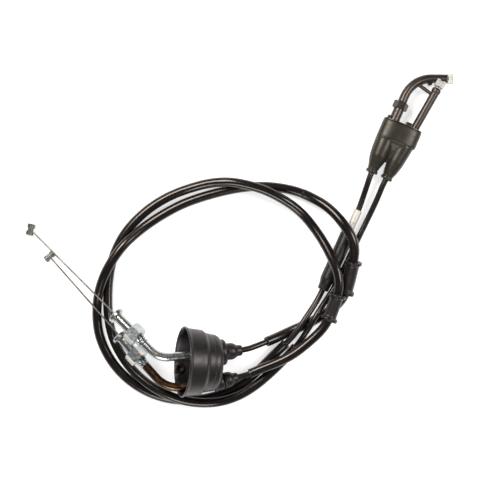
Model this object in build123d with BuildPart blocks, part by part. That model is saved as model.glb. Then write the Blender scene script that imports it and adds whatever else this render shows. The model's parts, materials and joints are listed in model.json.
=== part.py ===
from build123d import *
import math
import os

# A twin throttle cable set, laid out flat: the grip end lies at the left, the carburettor end
# at the upper right, and both cables make one loop between them. Millimetres, +Z up, z = 0 is
# the surface that the set lies on.

os.makedirs("parts", exist_ok=True)

# ---- driving dimensions --------------------------------------------------------------------
CONDUIT_R = 2.8                 # outer conduit of both cables
CONDUIT_BORE_R = 1.2
WIRE_R = 0.8                    # stranded inner cable
SLEEVE_R = 4.5                  # protective hose over the conduit
SLEEVE_WALL = 1.5
THICK_SLEEVE_R = 4.7            # the hose that runs through the upper guide
STROKE = 22.0                   # travel of each inner cable
STUB = STROKE + 2.0             # straight wire kept inside a pipe so that it never leaves it
GRIP_STUB = 12.0                # wire inside an elbow fitting, which has room for the stroke too
CLEARANCE = 0.06                # running clearance of the nuts on their threads
BORE_R = 2.1                    # wire passage through the metal fittings

TUBE_R = 4.0                    # steel elbow and carburettor pipes
TUBE_BORE_R = 2.7
THREAD_R = 5.0                  # M10 thread of the elbow fittings
NUT_ACROSS_FLATS = 17.0

COLLAR_R = 8.0
COLLAR_T = 3.6
SHANK_R = 4.75
SHANK_END = 19.0                # stations along a fitting, from its collar's outer face
NUT_START = 19.3
NUT_END = 30.7
THREAD_END = 35.0
FERRULE_END = 38.0
FERRULE_R = 4.7

COVER_MOUTH_R = 33.0            # housing cover, a cup lying on its side
COVER_DEPTH = 34.5
COVER_TILT = 16.0               # the mouth's upward tilt, so that the cone lies on its slant
COVER_MOUTH_Z = 33.8            # height of the mouth's centre when it does
COVER_PLAN = 176.0              # direction in plan that the mouth faces
COVER_WALL = 1.8

CAP_R = 3.6                     # cap crimped on each conduit end
CAP_SEAT = 2.0

GUIDE_R = 6.4                   # flanged rubber guides on the sleeves
GUIDE_FLANGE_R = 8.5
GUIDE_FLANGE_T = 2.6
GUIDE_BORE_R = 5.2

ADJUSTER_Z = 7.1
ADJUSTER_COVER_R = 6.9
ADJUSTER_SCREW_R = 3.5
ADJUSTER_LENGTH = 83.0

BOOT_WIDTH = 38.6               # trouser-shaped boot at the carburettor end
BOOT_HEIGHT = 19.8
BOOT_Z = 10.0
BOOT_BODY = 21.0

ARC_SHARE = 0.45                # share of the shorter run that each arc's tangent takes
REACH = 60.0                    # longer than any cut needs to be


# ---- small helpers -------------------------------------------------------------------------
def heading(plan_deg, pitch_deg):
    """Unit vector at plan_deg from +X, pitched up by pitch_deg."""
    level = math.cos(math.radians(pitch_deg))
    return Vector(
        math.cos(math.radians(plan_deg)) * level,
        math.sin(math.radians(plan_deg)) * level,
        math.sin(math.radians(pitch_deg)),
    )


def along(line, distance):
    """Point at a distance along a line given as (origin, direction)."""
    return line[0] + line[1] * distance


def square_to(line, distance=0.0):
    """Plane square to a line, at a distance along it, with its x axis level."""
    level = Vector(0, 0, 1).cross(line[1]).normalized()
    return Plane(origin=along(line, distance), x_dir=level, z_dir=line[1])


def through(line):
    """Plane that holds a line: local x runs along it, local y points away from it, upward."""
    level = line[1].cross(Vector(0, 0, 1)).normalized()
    return Plane(origin=line[0], x_dir=line[1], z_dir=level)


def finish(piece, node):
    """Labels a finished piece and writes its STEP."""
    piece.part.label = node
    export_step(piece.part, f"parts/{node}.step")


def make_turned(node, line, outline):
    """Piece revolved about a line from an outline of (along, radius) points."""
    with BuildPart() as turned:
        with BuildSketch(through(line)):
            with BuildLine():
                Polyline(*outline, close=True)
            make_face()
        revolve(axis=Axis(line[0], line[1]))
    finish(turned, node)


def make_nut(node, line, start, end, across_flats, bore_r):
    """Hexagon nut with chamfered corners, round a line from start to end."""
    with BuildPart() as nut:
        with BuildSketch(square_to(line, start)):
            RegularPolygon(across_flats / 2, 6, major_radius=False)
        extrude(amount=end - start)
        corner_r = across_flats / 2 / math.cos(math.radians(30))
        slope = corner_r - across_flats / 2
        with BuildSketch(through(line)):
            with BuildLine():
                Polyline(
                    (start, 0),
                    (start, across_flats / 2),
                    (start + slope * 0.6, corner_r),
                    (end - slope * 0.6, corner_r),
                    (end, across_flats / 2),
                    (end, 0),
                    close=True,
                )
            make_face()
        revolve(axis=Axis(line[0], line[1]), mode=Mode.INTERSECT)
        with BuildSketch(square_to(line, start - 1)):
            Circle(bore_r)
        extrude(amount=end - start + 2, mode=Mode.SUBTRACT)
    finish(nut, node)


def tangent_radii(points):
    """Radius of the arc at each inner corner of a route, as large as its two runs allow."""
    radii = []
    for before, corner, after in zip(points, points[1:], points[2:]):
        run_in = corner - before
        run_out = after - corner
        half_turn = math.radians(run_in.get_angle(run_out) / 2)
        radii.append(ARC_SHARE * min(run_in.length, run_out.length) / math.tan(half_turn))
    return radii


def smooth_route(name, points):
    """Straight runs joined by tangent arcs, as one wire; prints its radii and its length."""
    corners = [Vector(*point) for point in points]
    radii = tangent_radii(corners)
    with BuildLine() as route:
        FilletPolyline(*corners, radius=radii)
    wire = route.wire()
    print(f"{name}: length {wire.length:.1f}, radii {[round(radius) for radius in radii]}")
    return wire


def part_of(wire, start_mm, end_mm):
    """Stretch of a wire between two distances from its start."""
    return wire.trim(start_mm / wire.length, end_mm / wire.length)


def make_hose(node, wire, outer_r, bore_r):
    """Round tube along a wire; prints its volume against section times length."""
    with BuildPart() as hose:
        with BuildSketch(Plane(origin=wire @ 0, z_dir=wire % 0)):
            Circle(outer_r)
            if bore_r > 0:
                Circle(bore_r, mode=Mode.SUBTRACT)
        sweep(path=wire)
    expected = math.pi * (outer_r**2 - bore_r**2) * wire.length
    print(f"{node}: volume {hose.part.volume:.0f}, section times length {expected:.0f}")
    finish(hose, node)


# ---- lines that the rigid parts are built on -----------------------------------------------
# Each elbow fitting's line starts at its collar's outer face and runs into the elbow.
grip_lines = {
    "pull": (Vector(-116.5, -73.7, 25.5), heading(-43.8, 10.7)),
    "return": (Vector(-113.4, -94.0, 18.2), heading(-47.5, 8.4)),
}
# Free length from the collar back to the nipple, the nipple's radius, length and plan angle.
grip_nipples = {
    "pull": (116.7, 3.8, 11.0, 76.6),
    "return": (101.5, 3.2, 10.4, 41.0),
}
# Each neck's line starts at the neck's end face and runs out along the conduit.
neck_lines = {
    "pull": (Vector(-13.0, -109.0, 24.0), heading(5.0, -13.0)),
    "return": (Vector(-15.0, -136.6, 20.8), heading(12.8, -13.0)),
}
neck_radii = {"pull": 12.2, "return": 8.2}
# Where each elbow turns: along the fitting's line, and back along the neck's line.
elbow_bends = {"pull": 58.5, "return": 67.7}
elbow_neck_bends = {"pull": 18.0, "return": 10.0}
shank_extras = {"pull": 1.6, "return": 0.0}  # the pull fitting's shank is a little longer
seal_lengths = {"pull": 16.0, "return": 14.5}
seal_radii = {"pull": 7.9, "return": 7.6}

mouth_line = (
    Vector(-53.4, -117.2, COVER_MOUTH_Z),
    heading(COVER_PLAN, COVER_TILT) * -1,
)

adjuster_line = (Vector(79.0, -51.8, ADJUSTER_Z), heading(65.8, 0.0))

# Each carburettor line starts at the boot leg's end and runs out through the boot's mouth.
carb_lines = {
    "pull": (Vector(124.8, 59.4, 11.3), heading(66.2, -2.2)),
    "return": (Vector(138.8, 53.2, 8.8), heading(60.5, 3.0)),
}
boot_line = (Vector(154.4, 104.0, BOOT_Z), heading(67.2, 0.0))


# ---- cable routes --------------------------------------------------------------------------
# The pull cable: down from its seal, through the upper guide, round the loop, up to the adjuster.
pull_route = [
    along(neck_lines["pull"], 10.5), along(neck_lines["pull"], 20.5),
    (16.5, -104, 15.8), (26.5, -100.5, 11.2), (37, -96.5, 6.9), (48, -91.5, 4.8),
    (59.5, -86.5, 4.7), (71, -81, 4.7), (81.5, -75, 4.7), (92, -67.3, 5.6),
    (100.3, -56.8, 8), (104.5, -39.8, 11.4), (108, -23, 14.8), (108.6, -12.5, 17.4),
    (106.2, -2.8, 19.3), (101.8, 5.2, 19.6), (96.2, 13, 17.8), (89.5, 21.3, 14), (81, 29, 9),
    (71, 35, 5.6), (58.5, 41, 4.7), (43, 45, 4.7), (26, 47, 4.7), (7, 46.5, 4.7), (-13, 43, 4.7),
    (-33.5, 37.5, 4.7), (-53.5, 30.5, 4.7), (-71.5, 21, 4.7), (-87, 11, 5.2), (-100, 0.5, 9.2),
    (-110.5, -10, 14), (-120, -23, 14.8), (-127.5, -36.5, 14.3), (-132.5, -50, 11.2),
    (-135.5, -64, 6.8), (-136, -79.5, 4.7), (-134, -94.5, 4.7), (-128.5, -109, 4.7),
    (-120, -123, 4.7), (-109, -135, 4.7), (-95.5, -145, 4.7), (-78.5, -153, 4.7),
    (-59.5, -157, 4.7), (-40.5, -157, 4.7), (-21.5, -153, 4.7), (-4.5, -146, 4.7),
    (10.5, -135.5, 4.8), (23.5, -123, 5.4), (35.5, -110.5, 7.8), (46.5, -100, 12),
    (55, -90, 13.3), (62, -79, 12.7), (69.5, -68.5, 9.6),
    along(adjuster_line, -6.0), along(adjuster_line, 7.0),
]
pull_upper_route = [
    along(adjuster_line, 79.0), along(adjuster_line, 86.0),
    (117.4, 36.5, 8), (121.2, 48.2, 10.2),
    along(carb_lines["pull"], -1.5), along(carb_lines["pull"], 8.0),
]
# The return cable: over the coil, through the lower guide, round the loop, up to the boot.
return_route = [
    along(neck_lines["return"], 9.0), along(neck_lines["return"], 18.5),
    (9.8, -130.6, 15.4), (19, -126.5, 15), (29.5, -122.5, 15), (40, -118, 15.2),
    (49.5, -113, 15.6), (58.5, -106.5, 15.9), (68, -98.5, 16), (76.2, -90.8, 16.4),
    (82.9, -81.8, 17.2), (88.3, -67.5, 18.4), (93.2, -53, 19.8), (93.6, -43, 20.8),
    (91.6, -32.8, 21), (87.8, -23, 19.4), (83, -13, 16.4), (77, -2, 12.6), (69.5, 9, 9.2),
    (61, 19.5, 8), (50.5, 28.5, 10.4), (38, 36, 14.2), (24, 43, 14.8), (7, 48, 14.8),
    (-10, 51, 13.2), (-28, 50, 8.6), (-46, 45.5, 5), (-64, 39, 4.7), (-81, 29.5, 4.7),
    (-96, 17.5, 4.7), (-109, 3, 4.7), (-117.5, -12.5, 4.7), (-122.5, -27.5, 4.7),
    (-125, -43, 4.7), (-125.7, -59, 4.7), (-125.3, -74, 4.7), (-123, -90, 4.7),
    (-118, -104.5, 4.7), (-110, -118, 5.2), (-100, -130, 8.2), (-86.5, -141, 12.4),
    (-70, -150, 14.8), (-52, -156.5, 14.8), (-33.5, -158.5, 14.8), (-16, -157, 14.3),
    (0.5, -151.5, 11.6), (15, -143, 8.2), (28, -132.5, 5.2), (39.5, -121.5, 4.8),
    (50, -110.5, 4.9), (58.5, -99.5, 7.4), (65.5, -88, 12), (72.5, -76, 12.8),
    (79.9, -64.8, 9.2), (88.4, -52.9, 4.6), (96.6, -38, 2.95), (104.8, -20.5, 2.9), (113.2, -3, 2.9),
    (122.5, 16, 3.5), (131.2, 34.8, 6.2),
    along(carb_lines["return"], -4.0), along(carb_lines["return"], 8.0),
]

pull_wire = smooth_route("pull_conduit", pull_route)
pull_upper_wire = smooth_route("pull_upper_conduit", pull_upper_route)
return_wire = smooth_route("return_conduit", return_route)

conduit_wires = {
    "pull_conduit": pull_wire,
    "pull_upper_conduit": pull_upper_wire,
    "return_conduit": return_wire,
}
for node, wire in conduit_wires.items():
    make_hose(node, wire, CONDUIT_R, CONDUIT_BORE_R)
make_hose("pull_inner_cable", pull_wire, WIRE_R, 0)
make_hose("return_inner_cable", return_wire, WIRE_R, 0)

# Protective sleeves, by distance along the conduit; the pull cable has two, end to end.
PULL_SLEEVE_START = 31.0
PULL_SLEEVE_JOINT = 243.0
PULL_SLEEVE_END = pull_wire.length - 69.5
RETURN_SLEEVE_START = 16.5
RETURN_SLEEVE_END = return_wire.length - 191.0
make_hose(
    "pull_thick_sleeve",
    part_of(pull_wire, PULL_SLEEVE_START, PULL_SLEEVE_JOINT),
    THICK_SLEEVE_R,
    SLEEVE_R - SLEEVE_WALL,
)
make_hose(
    "pull_loop_sleeve",
    part_of(pull_wire, PULL_SLEEVE_JOINT, PULL_SLEEVE_END),
    SLEEVE_R,
    SLEEVE_R - SLEEVE_WALL,
)
make_hose(
    "return_sleeve",
    part_of(return_wire, RETURN_SLEEVE_START, RETURN_SLEEVE_END),
    SLEEVE_R,
    SLEEVE_R - SLEEVE_WALL,
)


# ---- flanged guides on the sleeves ---------------------------------------------------------
def make_guide(node, start, end):
    """Rubber tube with a flange at each end, round the sleeve between two route points."""
    span = end - start
    line = (start + span * 0.07, span.normalized())
    length = span.length * 0.86
    rib = GUIDE_FLANGE_T * 0.5
    make_turned(
        node,
        line,
        [
            (0, GUIDE_BORE_R),
            (0, GUIDE_FLANGE_R - 0.5),
            (0.5, GUIDE_FLANGE_R),
            (GUIDE_FLANGE_T - 0.5, GUIDE_FLANGE_R),
            (GUIDE_FLANGE_T, GUIDE_FLANGE_R - 0.5),
            (GUIDE_FLANGE_T + rib, GUIDE_R),
            (length - GUIDE_FLANGE_T - rib, GUIDE_R),
            (length - GUIDE_FLANGE_T, GUIDE_FLANGE_R - 0.5),
            (length - GUIDE_FLANGE_T + 0.5, GUIDE_FLANGE_R),
            (length - 0.5, GUIDE_FLANGE_R),
            (length, GUIDE_FLANGE_R - 0.5),
            (length, GUIDE_BORE_R),
        ],
    )


make_guide("pull_guide", Vector(100.3, -56.8, 8), Vector(108, -23, 14.8))
make_guide("return_guide", Vector(82.9, -81.8, 17.2), Vector(93.2, -53, 19.8))


# ---- grip end: fittings, nuts, ferrules, elbows, seals, wires and nipples --------------------
def make_nipple(node, centre, wire_line, radius, length, plan_deg):
    """Barrel nipple with a waist in the middle and a cross hole for its wire."""
    line = (centre, heading(plan_deg, 0))
    half = length / 2
    chamfer_mm = 0.5
    waist_half = length * 0.14
    waist_r = radius - 0.9
    with BuildPart() as nipple:
        with BuildSketch(through(line)):
            with BuildLine():
                Polyline(
                    (-half, 0),
                    (-half, radius - chamfer_mm),
                    (chamfer_mm - half, radius),
                    (-waist_half - 0.3, radius),
                    (-waist_half, waist_r),
                    (waist_half, waist_r),
                    (waist_half + 0.3, radius),
                    (half - chamfer_mm, radius),
                    (half, radius - chamfer_mm),
                    (half, 0),
                    close=True,
                )
            make_face()
        revolve(axis=Axis(line[0], line[1]))
        with BuildSketch(square_to(wire_line, -REACH / 2)):
            Circle(WIRE_R)
        extrude(amount=REACH, mode=Mode.SUBTRACT)
    finish(nipple, node)


def make_wire(node, line, start, end):
    """Straight piece of inner cable along a line."""
    with BuildPart() as wire_piece:
        with BuildSketch(square_to(line, start)):
            Circle(WIRE_R)
        extrude(amount=end - start)
    finish(wire_piece, node)


def make_tube(node, corners, radii, outer_r, bore_r):
    """Bent metal tube through a list of corners."""
    with BuildLine() as route:
        FilletPolyline(*corners, radius=radii)
    wire = route.wire()
    with BuildPart() as tube:
        with BuildSketch(Plane(origin=wire @ 0, z_dir=wire % 0)):
            Circle(outer_r)
            Circle(bore_r, mode=Mode.SUBTRACT)
        sweep(path=wire)
    finish(tube, node)


def make_cap(node, line, start, seat):
    """Cap crimped on a conduit end: a small wire hole, then a seat for the conduit."""
    make_turned(
        node,
        line,
        [
            (start, CONDUIT_BORE_R),
            (start, CAP_R - 0.4),
            (start + 0.4, CAP_R),
            (seat + CAP_SEAT, CAP_R),
            (seat + CAP_SEAT, CONDUIT_R),
            (seat, CONDUIT_R),
            (seat, CONDUIT_BORE_R),
        ],
    )


for side, line in grip_lines.items():
    extra = shank_extras[side]
    shank_end = SHANK_END + extra
    thread_end = THREAD_END + extra
    ferrule_end = FERRULE_END + extra
    make_turned(
        f"{side}_elbow_fitting",
        line,
        [
            (0, BORE_R),
            (0, COLLAR_R - 0.6),
            (0.6, COLLAR_R),
            (COLLAR_T - 0.4, COLLAR_R),
            (COLLAR_T, COLLAR_R - 0.4),
            (COLLAR_T, SHANK_R),
            (shank_end, SHANK_R),
            (shank_end, THREAD_R - 0.4),
            (shank_end + 0.4, THREAD_R),
            (thread_end - 0.6, THREAD_R),
            (thread_end, THREAD_R - 0.6),
            (thread_end, BORE_R),
        ],
    )
    make_nut(
        f"{side}_lock_nut",
        line,
        NUT_START + extra,
        NUT_END + extra,
        NUT_ACROSS_FLATS,
        THREAD_R + CLEARANCE,
    )
    make_turned(
        f"{side}_tube_ferrule",
        line,
        [
            (thread_end, TUBE_R),
            (thread_end, THREAD_R - 0.6),
            (thread_end + 0.4, FERRULE_R),
            (ferrule_end - 0.4, FERRULE_R),
            (ferrule_end, FERRULE_R - 0.4),
            (ferrule_end, TUBE_R),
        ],
    )
    free_length, nipple_r, nipple_length, nipple_plan = grip_nipples[side]
    nipple_centre = along(line, -free_length)
    make_nipple(
        f"{side}_grip_nipple",
        nipple_centre,
        (nipple_centre, line[1]),
        nipple_r,
        nipple_length,
        nipple_plan,
    )
    make_wire(f"{side}_grip_wire", line, 0.4 - free_length - nipple_r, GRIP_STUB)

    neck = neck_lines[side]
    elbow_corners = [
        along(line, thread_end),
        along(line, elbow_bends[side]),
        along(neck, -elbow_neck_bends[side]),
        along(neck, 0.5),
    ]
    elbow_radii = tangent_radii(elbow_corners)
    make_tube(f"{side}_elbow_tube", elbow_corners, elbow_radii, TUBE_R, TUBE_BORE_R)

    seat = 10.5 if side == "pull" else 9.0
    make_cap(f"{side}_grip_cap", neck, 0.5, seat)
    seal_end = seal_lengths[side]
    bulge = seal_radii[side]
    make_turned(
        f"{side}_seal",
        neck,
        [
            (0.1, CAP_R + 0.6),
            (0.1, bulge - 0.8),
            (1.4, bulge),
            (seal_end * 0.42, bulge),
            (seal_end * 0.62, bulge * 0.86),
            (seal_end * 0.86, bulge * 0.6),
            (seal_end - 0.8, bulge * 0.52),
            (seal_end, bulge * 0.44),
            (seal_end, CONDUIT_R),
            (seat + CAP_SEAT, CONDUIT_R),
            (seat + CAP_SEAT, CAP_R),
            (0.5, CAP_R),
            (0.5, CAP_R + 0.6),
        ],
    )

# ---- housing cover: a stepped rubber cup with two necks --------------------------------------
DRAIN_STATION = 5.0             # along the cup from its mouth
DRAIN_ANGLE = -20.0             # round the cup from its lowest line
DRAIN_R = 2.9
with BuildPart() as housing_cover:
    with BuildSketch(through(mouth_line)):
        with BuildLine():
            Polyline(
                (0, 0),
                (0, 32.3),
                (0.8, COVER_MOUTH_R),
                (3.2, COVER_MOUTH_R),
                (4.4, 31.3),
                (17.0, 30.2),
                (18.6, 29.6),
                (21.0, 28.1),
                (22.0, 27.8),
                (30.6, 26.2),
                (32.8, 25.0),
                (34.1, 22.8),
                (COVER_DEPTH, 20.4),
                (COVER_DEPTH, 0),
                close=True,
            )
        make_face()
    revolve(axis=Axis(*mouth_line))
    for side, neck in neck_lines.items():
        neck_r = neck_radii[side]
        with BuildSketch(through(neck)):
            with BuildLine():
                Polyline(
                    (-11.0, 0),
                    (-11.0, neck_r),
                    (-2.2, neck_r),
                    (-0.7, neck_r - 0.7),
                    (0, neck_r - 2.4),
                    (0, 0),
                    close=True,
                )
            make_face()
        revolve(axis=Axis(neck[0], neck[1]))
    with BuildSketch(through(mouth_line)):
        with BuildLine():
            Polyline(
                (-1, 0),
                (-1, 31.5),
                (1.2, 30.8),
                (17.0, 30.2 - COVER_WALL),
                (21.5, 28.0 - COVER_WALL),
                (30.0, 26.4 - COVER_WALL),
                (31.2, 22.4),
                (31.2, 0),
                close=True,
            )
        make_face()
    revolve(axis=Axis(*mouth_line), mode=Mode.SUBTRACT)
    for side, neck in neck_lines.items():
        for start, way_r in ((-14.0, TUBE_R + 0.5), (-5.5, TUBE_R + 0.1)):
            with BuildSketch(square_to(neck, start)):
                Circle(way_r)
            extrude(amount=8.6 if start < -6 else 7.0, mode=Mode.SUBTRACT)
        neck_bend = along(neck, -elbow_neck_bends[side])
        elbow_bend = along(grip_lines[side], elbow_bends[side])
        inner_run = (neck_bend, (elbow_bend - neck_bend).normalized())
        with BuildSketch(square_to(inner_run, -0.5)):
            Circle(TUBE_R + 0.4)
        extrude(amount=26.0, mode=Mode.SUBTRACT)
    side_way = mouth_line[1].cross(Vector(0, 0, 1)).normalized()
    down_way = mouth_line[1].cross(side_way).normalized()
    drain_way = down_way.rotate(Axis((0, 0, 0), mouth_line[1]), DRAIN_ANGLE)
    drain_line = (along(mouth_line, DRAIN_STATION), drain_way)
    with BuildSketch(square_to(drain_line, 28.0)):
        Circle(4.7)
    extrude(amount=2.2)
    with BuildSketch(square_to(drain_line, 26.0)):
        Circle(DRAIN_R)
    extrude(amount=10.0, mode=Mode.SUBTRACT)
finish(housing_cover, "housing_cover")

# ---- in-line adjuster of the pull cable -----------------------------------------------------
make_turned(
    "adjuster_cover",
    adjuster_line,
    [
        (0, CONDUIT_R + 0.15),
        (0, 4.6),
        (0.8, 5.2),
        (5.0, 5.6),
        (9.0, 6.6),
        (11.0, ADJUSTER_COVER_R),
        (56.0, ADJUSTER_COVER_R),
        (59.5, 6.4),
        (62.0, 5.3),
        (63.4, 4.3),
        (63.4, 3.9),
        (57.0, 3.9),
        (55.0, 5.8),
        (8.5, 5.8),
        (4.0, 5.3),
        (4.0, CONDUIT_R + 0.15),
    ],
)
make_turned(
    "adjuster_body",
    adjuster_line,
    [
        (5.0, CONDUIT_R + CLEARANCE),
        (5.0, 4.6),
        (5.6, 5.1),
        (32.4, 5.1),
        (33.0, 4.6),
        (33.0, ADJUSTER_SCREW_R + CLEARANCE),
        (9.0, ADJUSTER_SCREW_R + CLEARANCE),
        (9.0, CONDUIT_BORE_R),
        (7.05, CONDUIT_BORE_R),
        (7.05, CONDUIT_R + CLEARANCE),
    ],
)
make_turned(
    "adjuster_screw",
    adjuster_line,
    [
        (12.0, CONDUIT_BORE_R),
        (12.0, ADJUSTER_SCREW_R - 0.5),
        (12.5, ADJUSTER_SCREW_R),
        (58.0, ADJUSTER_SCREW_R),
        (58.0, CONDUIT_BORE_R),
    ],
)
make_turned(
    "adjuster_lock_ring",
    adjuster_line,
    [
        (33.6, ADJUSTER_SCREW_R + CLEARANCE),
        (33.6, 4.9),
        (34.0, 5.3),
        (38.0, 5.3),
        (38.4, 4.9),
        (38.4, ADJUSTER_SCREW_R + CLEARANCE),
    ],
)
make_turned(
    "adjuster_ferrule",
    adjuster_line,
    [
        (58.0, CONDUIT_BORE_R),
        (58.0, 3.8),
        (68.0, 3.8),
        (68.4, 3.4),
        (69.6, 3.4),
        (70.0, 3.8),
        (ADJUSTER_LENGTH - 0.5, 3.8),
        (ADJUSTER_LENGTH, 3.3),
        (ADJUSTER_LENGTH, CONDUIT_R),
        (79.0, CONDUIT_R),
        (79.0, CONDUIT_BORE_R),
    ],
)

# ---- carburettor end: barrel, pipes, nut, brace, caps, wires and nipples --------------------
BARREL_R = 5.0
PIPE_R = 4.3                    # the curved pipe is a little thicker than the straight one
BARREL_END = 70.0
PIPE_SEAT = 60.0
PIPE_NUT_START = 66.4
PIPE_NUT_END = 73.4
CAP_START = 18.0
CURVE_CORNER = 98.2             # where the curved pipe's two straights would meet
CURVE_RADIUS = 28.6
CURVE_TIP = 32.4                # from that corner to the curved pipe's end
RETURN_PIPE_END = 98.5

pull_carb = carb_lines["pull"]
return_carb = carb_lines["return"]
curve_corner = along(pull_carb, CURVE_CORNER)
tip_way = heading(0.0, -4.0)
pull_tip_line = (curve_corner + tip_way * CURVE_TIP, tip_way)
return_tip_line = (along(return_carb, RETURN_PIPE_END), return_carb[1])

make_turned(
    "pull_carb_barrel",
    pull_carb,
    [
        (CAP_START, BORE_R),
        (CAP_START, BARREL_R - 0.5),
        (CAP_START + 0.5, BARREL_R),
        (BARREL_END - 0.5, BARREL_R),
        (BARREL_END, BARREL_R - 0.5),
        (BARREL_END, PIPE_R),
        (PIPE_SEAT, PIPE_R),
        (PIPE_SEAT, BORE_R),
    ],
)
make_tube(
    "pull_carb_pipe",
    [along(pull_carb, PIPE_SEAT), curve_corner, pull_tip_line[0]],
    [CURVE_RADIUS],
    PIPE_R,
    TUBE_BORE_R,
)
with BuildPart() as pull_pipe_nut:
    with BuildSketch(square_to(pull_carb, PIPE_NUT_START)):
        RegularPolygon(6.3, 6, major_radius=False)
    extrude(amount=PIPE_NUT_END - PIPE_NUT_START)
    chamfer(pull_pipe_nut.faces().sort_by(Axis(*pull_carb))[-1].edges(), 0.8)
    with BuildSketch(square_to(pull_carb, PIPE_NUT_START - 1)):
        Circle(BARREL_R + CLEARANCE)
    extrude(amount=BARREL_END - PIPE_NUT_START + 1.3, mode=Mode.SUBTRACT)
    with BuildSketch(square_to(pull_carb, PIPE_NUT_START - 1)):
        Circle(PIPE_R + CLEARANCE)
    extrude(amount=PIPE_NUT_END - PIPE_NUT_START + 2, mode=Mode.SUBTRACT)
finish(pull_pipe_nut, "pull_pipe_nut")

make_turned(
    "return_carb_pipe",
    return_carb,
    [
        (CAP_START, TUBE_BORE_R),
        (CAP_START, TUBE_R),
        (RETURN_PIPE_END - 5.0, TUBE_R),
        (RETURN_PIPE_END - 4.0, TUBE_R + 0.4),
        (RETURN_PIPE_END - 1.6, TUBE_R + 0.4),
        (RETURN_PIPE_END, TUBE_R - 0.6),
        (RETURN_PIPE_END, TUBE_BORE_R),
    ],
)

# The brace joins the two pipes between the bend and the straight pipe, and the stud is a small
# round boss on the inner side of the curved pipe.
BRACE_R = 1.7
STUD_R = 2.1
STUD_HEIGHT = 4.4
brace_start = Vector(170.0, 143.4, 8.2)
brace_end = Vector(182.2, 133.4, 12.4)
brace_line = (brace_start, (brace_end - brace_start).normalized())
stud_centre = Vector(181.2, 144.6, 4.2)
with BuildPart() as curved_pipe_room:
    with BuildLine():
        curved_axis = FilletPolyline(
            along(pull_carb, PIPE_SEAT), curve_corner, pull_tip_line[0], radius=CURVE_RADIUS
        )
    with BuildSketch(square_to(pull_carb, PIPE_SEAT)):
        Circle(PIPE_R)
    sweep(path=curved_axis)
with BuildPart() as pipe_brace:
    with BuildSketch(square_to(brace_line)):
        Circle(BRACE_R)
    extrude(amount=(brace_end - brace_start).length)
    add(curved_pipe_room.part, mode=Mode.SUBTRACT)
    with BuildSketch(square_to(return_carb, PIPE_SEAT)):
        Circle(TUBE_R)
    extrude(amount=REACH, mode=Mode.SUBTRACT)
finish(pipe_brace, "pipe_brace")
with BuildPart() as pipe_stud:
    with BuildSketch(Plane(origin=stud_centre)):
        Circle(STUD_R)
    extrude(amount=STUD_HEIGHT)
    add(curved_pipe_room.part, mode=Mode.SUBTRACT)
finish(pipe_stud, "pipe_stud")

for side, line in carb_lines.items():
    make_cap(f"{side}_carb_cap", (along(line, CAP_START), line[1] * -1), 0.0, CAP_START - 8.0)

carb_nipples = {
    "pull": (pull_tip_line, 3.9, 3.3, 9.2, 90.0),
    "return": (return_tip_line, 4.75, 4.1, 8.8, -29.5),
}
for side, (tip, gap, nipple_r, nipple_length, nipple_plan) in carb_nipples.items():
    nipple_centre = along(tip, gap)
    make_nipple(
        f"{side}_carb_nipple",
        nipple_centre,
        (nipple_centre, tip[1]),
        nipple_r,
        nipple_length,
        nipple_plan,
    )
    make_wire(f"{side}_carb_wire", tip, -STUB, gap + nipple_r - 0.4)

# ---- boot over the carburettor end ----------------------------------------------------------
leg_outlines = {
    "pull": [(0, 5.4), (0.6, 5.8), (2.6, 5.8), (3.4, 4.7), (9, 6.0), (18, 7.4), (30, 8.6), (38, 8.8)],
    "return": [(0, 5.4), (0.6, 5.8), (2.6, 5.8), (3.4, 4.8), (9, 6.8), (18, 8.7), (28, 9.7), (38, 9.8)],
}
across_boot = boot_line[1].cross(Vector(0, 0, 1)).normalized()
with BuildPart() as carb_boot:
    with BuildSketch(square_to(boot_line, -BOOT_BODY)):
        SlotOverall(BOOT_WIDTH - 2.0, BOOT_HEIGHT - 1.2)
    with BuildSketch(square_to(boot_line)):
        SlotOverall(BOOT_WIDTH, BOOT_HEIGHT)
    loft()
    for side, outline in leg_outlines.items():
        with BuildSketch(through(carb_lines[side])):
            with BuildLine():
                Polyline((0, 0), *outline, (outline[-1][0], 0), close=True)
            make_face()
        revolve(axis=Axis(*carb_lines[side]))
    # web between the legs
    web_start = along(boot_line, -BOOT_BODY) - across_boot * 5.0
    with BuildSketch(Plane(origin=web_start, x_dir=across_boot, z_dir=boot_line[1] * -1)):
        Rectangle(12.0, 9.0)
    extrude(amount=16.0)
    # the mouth's hollow, then the ways for barrel, pipe, caps and conduits
    with BuildSketch(square_to(boot_line, -9.0)):
        SlotOverall(BOOT_WIDTH - 4.4, BOOT_HEIGHT - 4.4)
    extrude(amount=REACH, mode=Mode.SUBTRACT)
    way_radii = {"pull": BARREL_R, "return": TUBE_R}
    for side, line in carb_lines.items():
        for start, way_r in ((-2.0, CONDUIT_R + 0.1), (5.9, CAP_R + 0.1), (CAP_START, way_radii[side])):
            with BuildSketch(square_to(line, start)):
                Circle(way_r)
            extrude(amount=REACH, mode=Mode.SUBTRACT)
finish(carb_boot, "carb_boot")

# Bulkhead plate in the boot's mouth: it spaces the barrel and the pipe, and has two lugs.
PLATE_T = 3.0
with BuildPart() as mouth_plate:
    with BuildSketch(square_to(boot_line, -PLATE_T - 1.0)):
        SlotOverall(BOOT_WIDTH - 4.8, BOOT_HEIGHT - 4.8)
    extrude(amount=PLATE_T)
    for offset, width, height in ((-14.6, 3.0, 6.0), (4.6, 7.6, 7.0)):
        lug_origin = along(boot_line, -1.2) + across_boot * offset
        with BuildSketch(Plane(origin=lug_origin, x_dir=across_boot, z_dir=boot_line[1])):
            Rectangle(width, height)
        extrude(amount=5.6)
    for side, line in carb_lines.items():
        with BuildSketch(square_to(line, CAP_START + 4)):
            Circle(way_radii[side] + 0.05)
        extrude(amount=REACH, mode=Mode.SUBTRACT)
finish(mouth_plate, "mouth_plate")
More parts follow.
